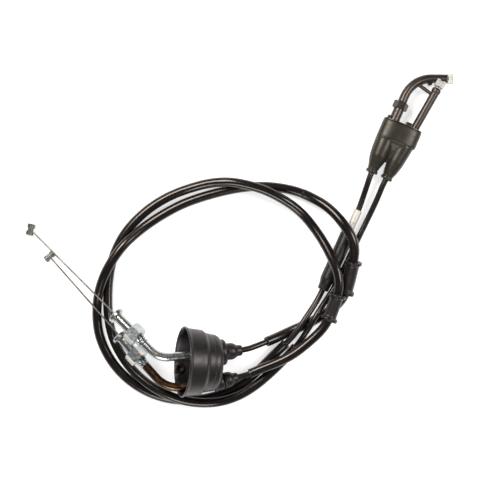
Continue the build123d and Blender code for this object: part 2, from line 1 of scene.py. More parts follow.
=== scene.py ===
"""Looks of a twin throttle cable set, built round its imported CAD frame.

Lengths are in millimetres, and MM turns them into metres. The camera and the lights are in metres.
"""

import json
import math

import bmesh
import bpy
from mathutils import Matrix, Vector


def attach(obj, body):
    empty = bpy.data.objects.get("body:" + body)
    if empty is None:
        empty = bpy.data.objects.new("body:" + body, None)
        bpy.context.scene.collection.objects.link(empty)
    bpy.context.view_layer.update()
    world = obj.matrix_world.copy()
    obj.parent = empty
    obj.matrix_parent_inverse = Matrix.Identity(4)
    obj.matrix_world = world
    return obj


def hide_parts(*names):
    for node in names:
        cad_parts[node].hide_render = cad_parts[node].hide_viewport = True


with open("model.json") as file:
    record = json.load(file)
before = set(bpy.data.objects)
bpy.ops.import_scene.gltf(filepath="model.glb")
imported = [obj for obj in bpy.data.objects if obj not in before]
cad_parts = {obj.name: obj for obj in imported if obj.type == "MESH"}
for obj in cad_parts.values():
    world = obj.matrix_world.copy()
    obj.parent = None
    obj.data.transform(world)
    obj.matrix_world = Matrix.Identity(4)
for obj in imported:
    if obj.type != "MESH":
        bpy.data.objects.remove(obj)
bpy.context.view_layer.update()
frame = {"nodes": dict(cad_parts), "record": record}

MM = 0.001
ROOT = "cable_set"

# ---- dimensions that the CAD part also has ---------------------------------------------------
CONDUIT_R = 2.8
SLEEVE_R = 4.5
THICK_SLEEVE_R = 4.7
SLEEVE_BORE_R = 3.0
WIRE_R = 0.8
STROKE = 22.0
GRIP_STUB = 12.0
THREAD_R = 5.0
CAP_R = 3.6
GUIDE_R = 6.4
GUIDE_FLANGE_R = 8.5
TUBE_R = 4.0
BARREL_R = 5.0
COVER_DEPTH = 34.5
BOOT_WIDTH = 38.6
BOOT_HEIGHT = 19.8
CURVE_CORNER = 98.2
CURVE_TIP = 32.4
RETURN_PIPE_END = 98.5
# Each seal's length and largest radius.
SEAL_SIZES = {"pull": (16.0, 7.9), "return": (14.5, 7.6)}
# A guide lies between these two points of its cable's route.
GUIDE_FOOT = 10
GUIDE_TOP = 12


# ---- lines and routes ------------------------------------------------------------------------
def heading(plan_deg, pitch_deg=0.0):
    """Unit vector at plan_deg from +X, pitched up by pitch_deg."""
    plan, pitch = math.radians(plan_deg), math.radians(pitch_deg)
    level = math.cos(pitch)
    return Vector((math.cos(plan) * level, math.sin(plan) * level, math.sin(pitch)))


def along(line, distance):
    """Point at a distance along a line given as (origin, direction)."""
    return line[0] + line[1] * distance


grip_lines = {
    "pull": (Vector((-116.5, -73.7, 25.5)), heading(-43.8, 10.7)),
    "return": (Vector((-113.4, -94.0, 18.2)), heading(-47.5, 8.4)),
}
# Each bare wire's free length beyond its fitting, and its nipple's radius.
grip_wires = {"pull": (116.7, 3.8), "return": (101.5, 3.2)}
shank_extras = {"pull": 1.6, "return": 0.0}      # how much longer each fitting is
neck_lines = {
    "pull": (Vector((-13.0, -109.0, 24.0)), heading(5.0, -13.0)),
    "return": (Vector((-15.0, -136.6, 20.8)), heading(12.8, -13.0)),
}
neck_radii = {"pull": 12.2, "return": 8.2}
mouth_line = (Vector((-53.4, -117.2, 33.8)), heading(176.0, 16.0) * -1)
adjuster_line = (Vector((79.0, -51.8, 7.1)), heading(65.8))
carb_lines = {
    "pull": (Vector((124.8, 59.4, 11.3)), heading(66.2, -2.2)),
    "return": (Vector((138.8, 53.2, 8.8)), heading(60.5, 3.0)),
}
boot_line = (Vector((154.4, 104.0, 10.0)), heading(67.2))
pull_tip_way = heading(0.0, -4.0)
pull_tip = (along(carb_lines["pull"], CURVE_CORNER) + pull_tip_way * CURVE_TIP, pull_tip_way)
return_tip = (along(carb_lines["return"], RETURN_PIPE_END), carb_lines["return"][1])
# Each short wire: the end of its pipe, the nipple's distance from there and the nipple's radius.
carb_wires = {"pull": (pull_tip, 3.9, 3.3), "return": (return_tip, 4.75, 4.1)}

pull_route = [
    along(neck_lines["pull"], 10.5), along(neck_lines["pull"], 20.5),
    (16.5, -104, 15.8), (26.5, -100.5, 11.2), (37, -96.5, 6.9), (48, -91.5, 4.8),
    (59.5, -86.5, 4.7), (71, -81, 4.7), (81.5, -75, 4.7), (92, -67.3, 5.6),
    (100.3, -56.8, 8), (104.5, -39.8, 11.4), (108, -23, 14.8), (108.6, -12.5, 17.4),
    (106.2, -2.8, 19.3), (101.8, 5.2, 19.6), (96.2, 13, 17.8), (89.5, 21.3, 14), (81, 29, 9),
    (71, 35, 5.6), (58.5, 41, 4.7), (43, 45, 4.7), (26, 47, 4.7), (7, 46.5, 4.7), (-13, 43, 4.7),
    (-33.5, 37.5, 4.7), (-53.5, 30.5, 4.7), (-71.5, 21, 4.7), (-87, 11, 5.2), (-100, 0.5, 9.2),
    (-110.5, -10, 14), (-120, -23, 14.8), (-127.5, -36.5, 14.3), (-132.5, -50, 11.2),
    (-135.5, -64, 6.8), (-136, -79.5, 4.7), (-134, -94.5, 4.7), (-128.5, -109, 4.7),
    (-120, -123, 4.7), (-109, -135, 4.7), (-95.5, -145, 4.7), (-78.5, -153, 4.7),
    (-59.5, -157, 4.7), (-40.5, -157, 4.7), (-21.5, -153, 4.7), (-4.5, -146, 4.7),
    (10.5, -135.5, 4.8), (23.5, -123, 5.4), (35.5, -110.5, 7.8), (46.5, -100, 12),
    (55, -90, 13.3), (62, -79, 12.7), (69.5, -68.5, 9.6),
    along(adjuster_line, -6.0), along(adjuster_line, 7.0),
]
pull_upper_route = [
    along(adjuster_line, 79.0), along(adjuster_line, 86.0),
    (117.4, 36.5, 8), (121.2, 48.2, 10.2),
    along(carb_lines["pull"], -1.5), along(carb_lines["pull"], 8.0),
]
return_route = [
    along(neck_lines["return"], 9.0), along(neck_lines["return"], 18.5),
    (9.8, -130.6, 15.4), (19, -126.5, 15), (29.5, -122.5, 15), (40, -118, 15.2),
    (49.5, -113, 15.6), (58.5, -106.5, 15.9), (68, -98.5, 16), (76.2, -90.8, 16.4),
    (82.9, -81.8, 17.2), (88.3, -67.5, 18.4), (93.2, -53, 19.8), (93.6, -43, 20.8),
    (91.6, -32.8, 21), (87.8, -23, 19.4), (83, -13, 16.4), (77, -2, 12.6), (69.5, 9, 9.2),
    (61, 19.5, 8), (50.5, 28.5, 10.4), (38, 36, 14.2), (24, 43, 14.8), (7, 48, 14.8),
    (-10, 51, 13.2), (-28, 50, 8.6), (-46, 45.5, 5), (-64, 39, 4.7), (-81, 29.5, 4.7),
    (-96, 17.5, 4.7), (-109, 3, 4.7), (-117.5, -12.5, 4.7), (-122.5, -27.5, 4.7),
    (-125, -43, 4.7), (-125.7, -59, 4.7), (-125.3, -74, 4.7), (-123, -90, 4.7),
    (-118, -104.5, 4.7), (-110, -118, 5.2), (-100, -130, 8.2), (-86.5, -141, 12.4),
    (-70, -150, 14.8), (-52, -156.5, 14.8), (-33.5, -158.5, 14.8), (-16, -157, 14.3),
    (0.5, -151.5, 11.6), (15, -143, 8.2), (28, -132.5, 5.2), (39.5, -121.5, 4.8),
    (50, -110.5, 4.9), (58.5, -99.5, 7.4), (65.5, -88, 12), (72.5, -76, 12.8),
    (79.9, -64.8, 9.2), (88.4, -52.9, 4.6), (96.6, -38, 2.95), (104.8, -20.5, 2.9), (113.2, -3, 2.9),
    (122.5, 16, 3.5), (131.2, 34.8, 6.2),
    along(carb_lines["return"], -4.0), along(carb_lines["return"], 8.0),
]


# ---- camera, light and floor -----------------------------------------------------------------
def make_camera():
    """Looks straight down at the set, square to the floor."""
    data = bpy.data.cameras.new("camera")
    data.lens = 85
    data.sensor_width = 36
    camera = bpy.data.objects.new("camera", data)
    camera.location = (0.0005, -0.0043, 1.085)
    camera.rotation_euler = (0, 0, 0)
    bpy.context.scene.collection.objects.link(camera)
    bpy.context.scene.camera = camera


def make_area(name, place, aim, size, power, colour=(1, 1, 1)):
    """Square softbox at a place, turned to face a point."""
    data = bpy.data.lights.new(name, "AREA")
    data.shape = "SQUARE"
    data.size = size
    data.energy = power
    data.color = colour
    light = bpy.data.objects.new(name, data)
    light.location = place
    light.rotation_euler = (Vector(aim) - Vector(place)).to_track_quat("-Z", "Y").to_euler()
    bpy.context.scene.collection.objects.link(light)


def make_stage():
    """Pale floor under even studio light."""
    world = bpy.data.worlds.new("studio")
    world.use_nodes = True
    sky = world.node_tree.nodes["Background"]
    sky.inputs["Color"].default_value = (0.98, 0.95, 1.0, 1)
    sky.inputs["Strength"].default_value = 0.15
    bpy.context.scene.world = world
    make_area("key", (-0.55, 0.75, 1.1), (0, 0, 0), 0.6, 22, (1.0, 0.95, 0.90))
    make_area("fill", (0.9, 0.1, 0.9), (0, 0, 0), 0.5, 10, (1.0, 0.96, 0.93))
    make_area("rim", (-0.2, -1.0, 0.8), (0, 0, 0), 0.6, 9, (0.96, 0.98, 1.0))
    mesh = bpy.data.meshes.new("floor")
    half = 4.0
    corners = [(-half, -half, 0), (half, -half, 0), (half, half, 0), (-half, half, 0)]
    mesh.from_pydata(corners, [], [(0, 1, 2, 3)])
    floor = bpy.data.objects.new("floor", mesh)
    floor.location.z = -0.0001
    bpy.context.scene.collection.objects.link(floor)
    mesh.materials.append(make_floor_material())
    bpy.context.scene.view_settings.view_transform = "Standard"
    bpy.context.scene.view_settings.exposure = 0.0


def make_floor_material():
    """Backlit white card, so that shadows stay faint."""
    made = bpy.data.materials.new("floor_card")
    made.use_nodes = True
    shader = made.node_tree.nodes["Principled BSDF"]
    shader.inputs["Base Color"].default_value = (0.6, 0.6, 0.6, 1)
    shader.inputs["Emission Color"].default_value = (1, 1, 1, 1)
    shader.inputs["Emission Strength"].default_value = 0.62
    shader.inputs["Roughness"].default_value = 0.9
    shader.inputs["Specular IOR Level"].default_value = 0.1
    return made


# ---- materials -------------------------------------------------------------------------------
def make_material(
    name,
    colours,
    roughness,
    metallic=0.0,
    patch=90.0,
    grain=1400.0,
    bump=0.15,
    specular=0.5,
    tint=(1, 1, 1),
):
    """Mottled surface: a pair of colours mixed by broad patches, uneven gloss and a fine grain."""
    made = bpy.data.materials.new(name)
    made.use_nodes = True
    nodes, links = made.node_tree.nodes, made.node_tree.links
    shader = nodes["Principled BSDF"]
    shader.inputs["Metallic"].default_value = metallic
    shader.inputs["Specular Tint"].default_value = (*tint, 1)
    shader.inputs["Specular IOR Level"].default_value = specular
    place = nodes.new("ShaderNodeTexCoord")

    def noise(scale, detail):
        made_noise = nodes.new("ShaderNodeTexNoise")
        made_noise.inputs["Scale"].default_value = scale
        made_noise.inputs["Detail"].default_value = detail
        links.new(place.outputs["Object"], made_noise.inputs["Vector"])
        return made_noise

    broad = noise(patch, 4.0)
    ramp = nodes.new("ShaderNodeValToRGB")
    ramp.color_ramp.elements[0].position = 0.36
    ramp.color_ramp.elements[1].position = 0.66
    for element, colour in zip(ramp.color_ramp.elements, colours):
        element.color = (*colour, 1)
    links.new(broad.outputs["Fac"], ramp.inputs["Fac"])
    fine = noise(grain, 6.0)
    speck = nodes.new("ShaderNodeMix")
    speck.data_type = "RGBA"
    speck.blend_type = "MULTIPLY"
    speck.inputs["Factor"].default_value = 0.35
    links.new(ramp.outputs["Color"], speck.inputs["A"])
    links.new(fine.outputs["Color"], speck.inputs["B"])
    lift = nodes.new("ShaderNodeMix")
    lift.data_type = "RGBA"
    lift.blend_type = "MIX"
    lift.inputs["Factor"].default_value = 0.75
    links.new(speck.outputs["Result"], lift.inputs["A"])
    links.new(ramp.outputs["Color"], lift.inputs["B"])
    links.new(lift.outputs["Result"], shader.inputs["Base Color"])
    gloss = nodes.new("ShaderNodeMapRange")
    gloss.inputs["From Min"].default_value = 0.3
    gloss.inputs["From Max"].default_value = 0.7
    gloss.inputs["To Min"].default_value = roughness[0]
    gloss.inputs["To Max"].default_value = roughness[1]
    worn = noise(patch * 3.1, 5.0)
    links.new(worn.outputs["Fac"], gloss.inputs["Value"])
    links.new(gloss.outputs["Result"], shader.inputs["Roughness"])
    relief = nodes.new("ShaderNodeBump")
    relief.inputs["Strength"].default_value = bump
    relief.inputs["Distance"].default_value = 0.0002
    links.new(fine.outputs["Fac"], relief.inputs["Height"])
    links.new(relief.outputs["Normal"], shader.inputs["Normal"])
    return made


WARM = (1.0, 0.90, 0.80)            # tint of the highlights on the black pieces
materials = {
    "black_rubber": make_material(
        "moulded_rubber",
        [(0.0050, 0.0041, 0.0046), (0.0090, 0.0075, 0.0080)],
        (0.32, 0.44),
        grain=1100,
        bump=0.10,
        specular=0.48,
        tint=(1.0, 0.93, 0.91),
    ),
    "hose": make_material(
        "vinyl_hose",
        [(0.0030, 0.0023, 0.0027), (0.0062, 0.0048, 0.0054)],
        (0.19, 0.26),
        patch=60,
        grain=900,
        bump=0.02,
        tint=WARM,
    ),
    "conduit": make_material(
        "vinyl_conduit",
        [(0.0038, 0.0030, 0.0034), (0.0075, 0.0060, 0.0066)],
        (0.22, 0.30),
        patch=70,
        grain=1000,
        bump=0.02,
        tint=WARM,
    ),
    "black_pipe": make_material(
        "black_coating",
        [(0.0080, 0.0065, 0.0062), (0.0170, 0.0135, 0.0125)],
        (0.28, 0.40),
        patch=120,
        grain=1800,
        bump=0.06,
        specular=0.6,
        tint=(1.0, 0.88, 0.77),
    ),
    "boot_rubber": make_material(
        "olive_rubber",
        [(0.0125, 0.0112, 0.0080), (0.0205, 0.0186, 0.0138)],
        (0.31, 0.43),
        patch=110,
        grain=1300,
        bump=0.12,
        specular=0.42,
        tint=(1.0, 0.95, 0.84),
    ),
    "zinc_plated": make_material(
        "bright_zinc",
        [(0.36, 0.42, 0.46), (0.60, 0.58, 0.52)],
        (0.18, 0.30),
        1.0,
        patch=140,
        grain=2200,
        bump=0.04,
    ),
    "bronzed_tube": make_material(
        "brown_passivate",
        [(0.055, 0.032, 0.018), (0.120, 0.072, 0.038)],
        (0.22, 0.36),
        1.0,
        patch=100,
        grain=1800,
        bump=0.10,
    ),
    "stranded_wire": make_material(
        "bare_strands",
        [(0.15, 0.14, 0.13), (0.24, 0.22, 0.20)],
        (0.28, 0.40),
        1.0,
        patch=200,
        grain=2500,
        bump=0.04,
    ),
    "satin_zinc": make_material(
        "rolled_zinc",
        [(0.50, 0.49, 0.47), (0.62, 0.60, 0.55)],
        (0.48, 0.58),
        0.55,
        patch=60,
        grain=1600,
        bump=0.04,
    ),
    "nipple_zinc": make_material(
        "cast_zinc",
        [(0.17, 0.17, 0.16), (0.29, 0.28, 0.26)],
        (0.30, 0.44),
        1.0,
        patch=220,
        grain=1800,
        bump=0.12,
    ),
}


# ---- mesh helpers ----------------------------------------------------------------------------
def add_object(name, mesh):
    made = bpy.data.objects.new(name, mesh)
    bpy.context.scene.collection.objects.link(made)
    return made


def finish_piece(piece, slot, body, *nodes, sharp_deg=38):
    """Gives a piece its material, its body and the CAD nodes that it stands for."""
    piece.data.materials.clear()
    piece.data.materials.append(materials[slot])
    if piece.type == "MESH":
        piece.data.shade_smooth()
        piece.data.set_sharp_from_angle(angle=math.radians(sharp_deg))
    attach(piece, body)
    if nodes:
        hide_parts(*nodes)
    return piece


class Straight:
    """Frames along a straight line."""

    def __init__(self, line):
        self.line = line
        self.u = Vector((0, 0, 1)).cross(line[1]).normalized()
        self.v = line[1].cross(self.u).normalized()

    def at(self, s):
        return along(self.line, s), self.u, self.v


class Curved:
    """Frames along a polyline, turned as little as the line allows."""

    def __init__(self, points):
        self.points = points
        self.stations = [0.0]
        for a, b in zip(points, points[1:]):
            self.stations.append(self.stations[-1] + (b - a).length)
        self.length = self.stations[-1]
        ways = []
        for i in range(len(points)):
            ahead = points[min(i + 1, len(points) - 1)]
            behind = points[max(i - 1, 0)]
            ways.append((ahead - behind).normalized())
        self.us = [Vector((0, 0, 1)).cross(ways[0]).normalized()]
        for before, after in zip(ways, ways[1:]):
            turn = before.rotation_difference(after)
            u = turn @ self.us[-1]
            self.us.append((u - after * u.dot(after)).normalized())
        self.ways = ways

    def at(self, s):
        low, high = 0, len(self.stations) - 1
        while high - low > 1:
            middle = (low + high) // 2
            if self.stations[middle] <= s:
                low = middle
            else:
                high = middle
        i = low
        span = self.stations[i + 1] - self.stations[i]
        t = (s - self.stations[i]) / span
        point = self.points[i].lerp(self.points[i + 1], t)
        way = self.ways[i].lerp(self.ways[i + 1], t).normalized()
        u = self.us[i].lerp(self.us[i + 1], t)
        u = (u - way * u.dot(way)).normalized()
        return point, u, way.cross(u)

    def nearest(self, target):
        """Station of the point nearest to a target."""
        distances = [(point - target).length for point in self.points]
        return self.stations[distances.index(min(distances))]


def rounded(outline, radius):
    """Closed outline with each corner rounded."""
    made = []
    count = len(outline)
    for i in range(count):
        before, corner, after = (Vector(outline[(i + k) % count]) for k in (-1, 0, 1))
        back, ahead = before - corner, after - corner
        cut = min(radius, back.length * 0.45, ahead.length * 0.45)
        start, end = corner + back.normalized() * cut, corner + ahead.normalized() * cut
        for t in (0.0, 0.33, 0.67, 1.0):
            point = start * (1 - t) ** 2 + corner * (2 * t * (1 - t)) + end * t**2
            made.append((point.x, point.y))
    return made


def densify(outline, longest):
    """Closed outline whose sides are cut into steps no longer than this."""
    made = []
    for (s0, r0), (s1, r1) in zip(outline, outline[1:] + outline[:1]):
        steps = max(1, math.ceil(abs(s1 - s0) / longest))
        made += [(s0 + (s1 - s0) * k / steps, r0 + (r1 - r0) * k / steps) for k in range(steps)]
    return made


def swept_mesh(name, path, outline, segments=40, shape=None):
    """Closed ring of circles about a path, one for each (station, radius) of a closed outline."""
    vertices, faces = [], []
    for s, r in outline:
        origin, u, v = path.at(s)
        for k in range(segments):
            angle = 2 * math.pi * k / segments
            reach = r * (shape(s, angle) if shape else 1.0)
            point = origin + (u * math.cos(angle) + v * math.sin(angle)) * reach
            vertices.append(point * MM)
    rings = len(outline)
    for i in range(rings):
        j = (i + 1) % rings
        for k in range(segments):
            m = (k + 1) % segments
            faces.append((i * segments + k, i * segments + m, j * segments + m, j * segments + k))
    mesh = bpy.data.meshes.new(name)
    mesh.from_pydata(vertices, [], faces)
    face_outward(mesh)
    return mesh


def solid_mesh(name, rings):
    """Closed solid through a list of rings of points, capped at both ends."""
    vertices = [point * MM for ring in rings for point in ring]
    n = len(rings[0])
    faces = [tuple(range(n - 1, -1, -1)), tuple(range((len(rings) - 1) * n, len(rings) * n))]
    for i in range(len(rings) - 1):
        for k in range(n):
            m = (k + 1) % n
            faces.append((i * n + k, i * n + m, (i + 1) * n + m, (i + 1) * n + k))
    mesh = bpy.data.meshes.new(name)
    mesh.from_pydata(vertices, [], faces)
    face_outward(mesh)
    return mesh


def face_outward(mesh):
    """Turns every face of a closed mesh outward."""
    work = bmesh.new()
    work.from_mesh(mesh)
    bmesh.ops.recalc_face_normals(work, faces=work.faces)
    if work.calc_volume(signed=True) < 0:
        bmesh.ops.reverse_faces(work, faces=work.faces)
    work.to_mesh(mesh)
    work.free()


def round_rings(line, outline, segments=48):
    """Rings of a solid of revolution about a line, for solid_mesh."""
    path = Straight(line)
    rings = []
    for s, r in outline:
        origin, u, v = path.at(s)
        turns = [2 * math.pi * k / segments for k in range(segments)]
        rings.append([origin + (u * math.cos(a) + v * math.sin(a)) * r for a in turns])
    return rings


def slot_ring(line, s, width, height, shift=0.0, segments=64, power=2.6):
    """Ring shaped like a flattened oval, square to a line, shifted to its right."""
    origin, u, v = Straight(line).at(s)
    origin = origin - u * shift
    ring = []
    for k in range(segments):
        a = 2 * math.pi * k / segments
        c, n = math.cos(a), math.sin(a)
        x = math.copysign(abs(c) ** (2 / power), c) * width / 2
        y = math.copysign(abs(n) ** (2 / power), n) * height / 2
        ring.append(origin + u * x + v * y)
    return ring


def apply_modifiers(piece):
    """Replaces a piece's mesh with what its modifiers make of it."""
    graph = bpy.context.evaluated_depsgraph_get()
    result = bpy.data.meshes.new_from_object(piece.evaluated_get(graph))
    piece.modifiers.clear()
    piece.data = result


def combine(name, base, added, removed):
    """Union of closed meshes, less other closed meshes."""
    piece = add_object(name, base)
    tools = []
    for operation, meshes in (("UNION", added), ("DIFFERENCE", removed)):
        for mesh in meshes:
            tool = add_object(f"{name}_tool", mesh)
            tools.append(tool)
            cut = piece.modifiers.new(operation, "BOOLEAN")
            cut.operation = operation
            cut.solver = "EXACT"
            cut.object = tool
    apply_modifiers(piece)
    for tool in tools:
        bpy.data.objects.remove(tool)
    return piece


def soften(piece, voxel, passes, keep=0.5):
    """Blends a piece's joins as a mould does: an even mesh, smoothed, then thinned out."""
    remesh = piece.modifiers.new("remesh", "REMESH")
    remesh.mode = "VOXEL"
    remesh.voxel_size = voxel * MM
    smooth = piece.modifiers.new("smooth", "SMOOTH")
    smooth.factor = 0.5
    smooth.iterations = passes
    thin = piece.modifiers.new("thin", "DECIMATE")
    thin.ratio = keep
    apply_modifiers(piece)


# ---- cables ----------------------------------------------------------------------------------
def make_cord_curve(name, route, radius):
    """Round cord along a smooth spline that has the route's points as its control points."""
    curve = bpy.data.curves.new(name, "CURVE")
    curve.dimensions = "3D"
    spline = curve.splines.new("NURBS")
    spline.points.add(len(route) - 1)
    for point, place in zip(spline.points, route):
        point.co = (*(Vector(place) * MM), 1)
    spline.order_u = 3
    spline.use_endpoint_u = True
    spline.resolution_u = 10
    curve.bevel_resolution = 7
    curve.use_fill_caps = True
    piece = add_object(name, curve)
    line = bpy.data.meshes.new_from_object(piece)
    centre = Curved([v.co / MM for v in line.vertices])
    bpy.data.meshes.remove(line)
    curve.bevel_depth = radius * MM
    return piece, centre


def declare(exit_point, centre=None, start=0.0, end=0.0):
    """Works out, for a mesh tube, the points that its cord follows; the result is not kept."""
    path = None
    if centre:
        inner = [s for s in centre.stations if start < s < end]
        path = [centre.at(s)[0] * MM for s in (start, *inner, end)]


pull_conduit, pull_centre = make_cord_curve("pull_conduit_cord", pull_route, CONDUIT_R)
finish_piece(pull_conduit, "conduit", ROOT, "pull_conduit", "pull_inner_cable")
pull_upper, pull_upper_centre = make_cord_curve(
    "pull_upper_conduit_cord", pull_upper_route, CONDUIT_R
)
finish_piece(pull_upper, "conduit", ROOT, "pull_upper_conduit")
return_conduit, return_centre = make_cord_curve(
    "return_conduit_cord", return_route, CONDUIT_R
)
finish_piece(return_conduit, "conduit", ROOT, "return_conduit", "return_inner_cable")
declare(pull_centre.points[0])
declare(pull_upper_centre.points[0])
declare(return_centre.points[0])


def make_sleeve(name, node, centre, start, end, radius):
    """Vinyl hose over a conduit, cut square with slightly rounded lips."""
    outline = [(start, SLEEVE_BORE_R), (start, radius), (end, radius), (end, SLEEVE_BORE_R)]
    outline = densify(rounded(outline, 0.4), 2.0)
    piece = add_object(name, swept_mesh(name, centre, outline, segments=32))
    finish_piece(piece, "hose", ROOT, node)
    declare(centre.at(start)[0], centre, start, end)
    return piece


PULL_SLEEVE_START = 31.0
PULL_SLEEVE_JOINT = 243.0
PULL_SLEEVE_TAIL = 69.5
RETURN_SLEEVE_START = 16.5
RETURN_SLEEVE_TAIL = 191.0
make_sleeve(
    "pull_thick_hose",
    "pull_thick_sleeve",
    pull_centre,
    PULL_SLEEVE_START,
    PULL_SLEEVE_JOINT,
    THICK_SLEEVE_R,
)
make_sleeve(
    "pull_loop_hose",
    "pull_loop_sleeve",
    pull_centre,
    PULL_SLEEVE_JOINT,
    pull_centre.length - PULL_SLEEVE_TAIL,
    SLEEVE_R,
)
make_sleeve(
    "return_hose",
    "return_sleeve",
    return_centre,
    RETURN_SLEEVE_START,
    return_centre.length - RETURN_SLEEVE_TAIL,
    SLEEVE_R,
)


# ---- guides and seals ------------------------------------------------------------------------
def make_guide(name, node, centre, route, bore):
    """Flanged rubber tube round the sleeve, with the thinnest part in the middle."""
    inset = 2.3
    start = centre.nearest(Vector(route[GUIDE_FOOT])) + inset
    end = centre.nearest(Vector(route[GUIDE_TOP])) - inset
    flange = 2.6
    outline = [
        (start, bore),
        (start, GUIDE_FLANGE_R - 0.2),
        (start + 0.5, GUIDE_FLANGE_R),
        (start + flange, GUIDE_FLANGE_R),
        (start + flange + 0.9, GUIDE_R + 0.2),
        (start + flange + 3.0, GUIDE_R - 0.1),
        (end - flange - 3.0, GUIDE_R - 0.1),
        (end - flange - 0.9, GUIDE_R + 0.2),
        (end - flange, GUIDE_FLANGE_R),
        (end - 0.5, GUIDE_FLANGE_R),
        (end, GUIDE_FLANGE_R - 0.2),
        (end, bore),
    ]
    outline = densify(rounded(outline, 0.7), 1.5)
    piece = add_object(name, swept_mesh(name, centre, outline, segments=48))
    return finish_piece(piece, "black_rubber", ROOT, node, sharp_deg=50)


make_guide("pull_guide_rubber", "pull_guide", pull_centre, pull_route, THICK_SLEEVE_R)
make_guide("return_guide_rubber", "return_guide", return_centre, return_route, SLEEVE_R)


def make_seal(name, node, line, length, bulge):
    """Rubber bulb on a neck, drawn in to the conduit."""
    outline = [
        (0.1, CAP_R),
        (0.1, bulge * 0.88),
        (0.7, bulge * 0.98),
        (2.0, bulge),
        (length * 0.36, bulge),
        (length * 0.50, bulge * 0.92),
        (length * 0.60, bulge * 0.78),
        (length * 0.67, bulge * 0.69),
        (length * 0.76, bulge * 0.66),
        (length * 0.90, bulge * 0.64),
        (length * 0.98, bulge * 0.54),
        (length, bulge * 0.40),
        (length, CONDUIT_R),
        (length * 0.8, CONDUIT_R),
        (length * 0.8, CAP_R),
    ]
    outline = densify(rounded(outline, 0.8), 1.0)
    piece = add_object(name, swept_mesh(name, Straight(line), outline, segments=48))
    return finish_piece(piece, "black_rubber", ROOT, node, sharp_deg=60)


for side, (seal_length, seal_r) in SEAL_SIZES.items():
    make_seal(f"{side}_seal_bulb", f"{side}_seal", neck_lines[side], seal_length, seal_r)


# ---- housing cover ---------------------------------------------------------------------------
def make_cover():
    """Stepped rubber cup with a rolled lip, two necks and a ringed drain inside the mouth."""
    outer = [
        (0.0, 32.2), (0.4, 32.8), (1.2, 33.0), (2.0, 32.7), (2.6, 31.9), (4.4, 31.5), (10.0, 31.0),
        (16.6, 30.4), (18.2, 29.7), (19.6, 28.3), (21.0, 27.9), (25.6, 27.0), (25.9, 26.5),
        (26.6, 26.5), (26.9, 26.9), (30.6, 26.2), (32.6, 25.0), (34.0, 22.8), (COVER_DEPTH, 20.4),
    ]
    inner = [
        (-1.0, 31.7), (0.6, 31.2), (3.0, 30.3), (17.0, 28.6), (21.5, 26.2), (30.0, 24.6),
        (31.2, 22.4),
    ]
    cup = solid_mesh("cup", round_rings(mouth_line, outer, 96))
    hollow = solid_mesh("hollow", round_rings(mouth_line, inner, 96))
    necks, bores = [], []
    for side, neck in neck_lines.items():
        r = neck_radii[side]
        profile = [(-10.0, r), (-2.4, r), (-0.9, r - 0.5), (0.0, r - 1.9)]
        necks.append(solid_mesh("neck", round_rings(neck, profile)))
        bores.append(solid_mesh("bore", round_rings(neck, [(-16.0, TUBE_R), (2.0, TUBE_R)])))
    drain_station, drain_turn_deg, drain_r = 5.0, -20.0, 2.7
    side_way = mouth_line[1].cross(Vector((0, 0, 1))).normalized()
    down = mouth_line[1].cross(side_way).normalized()
    down.rotate(Matrix.Rotation(math.radians(drain_turn_deg), 3, mouth_line[1]))
    drain = (along(mouth_line, drain_station), down)
    ring_outline = [(27.9, 4.0), (28.3, 4.7), (30.6, 4.9), (31.9, 4.6)]
    ring = solid_mesh("ring", round_rings(drain, ring_outline, 32))
    hole = solid_mesh("hole", round_rings(drain, [(25.0, drain_r), (31.2, drain_r)], 32))
    piece = combine("cover_cup", cup, necks, [hollow])
    piece_ring = combine("housing_cover_rubber", piece.data, [ring], [*bores, hole])
    bpy.data.objects.remove(piece)
    soften(piece_ring, 0.55, 3, 0.5)
    return finish_piece(piece_ring, "black_rubber", ROOT, "housing_cover", sharp_deg=80)


make_cover()


# ---- adjuster cover --------------------------------------------------------------------------
def make_adjuster_cover():
    """Long rubber sleeve, tapered at the foot, with a domed top that grips the ferrule."""
    outline = [
        (0.0, 2.95), (0.0, 4.6), (0.8, 5.3), (4.6, 5.5), (8.0, 6.1), (11.0, 6.9), (34.0, 6.8),
        (56.0, 6.9), (59.0, 6.6), (61.4, 5.9), (63.0, 4.9), (63.4, 4.3), (63.4, 3.9), (57.0, 3.9),
        (55.0, 5.8), (8.5, 5.8), (4.0, 5.3), (4.0, 2.95),
    ]
    outline = densify(rounded(outline, 0.8), 2.0)
    mesh = swept_mesh("adjuster_cover_rubber", Straight(adjuster_line), outline, segments=48)
    piece = add_object("adjuster_cover_rubber", mesh)
    return finish_piece(piece, "black_rubber", ROOT, "adjuster_cover", sharp_deg=60)


make_adjuster_cover()


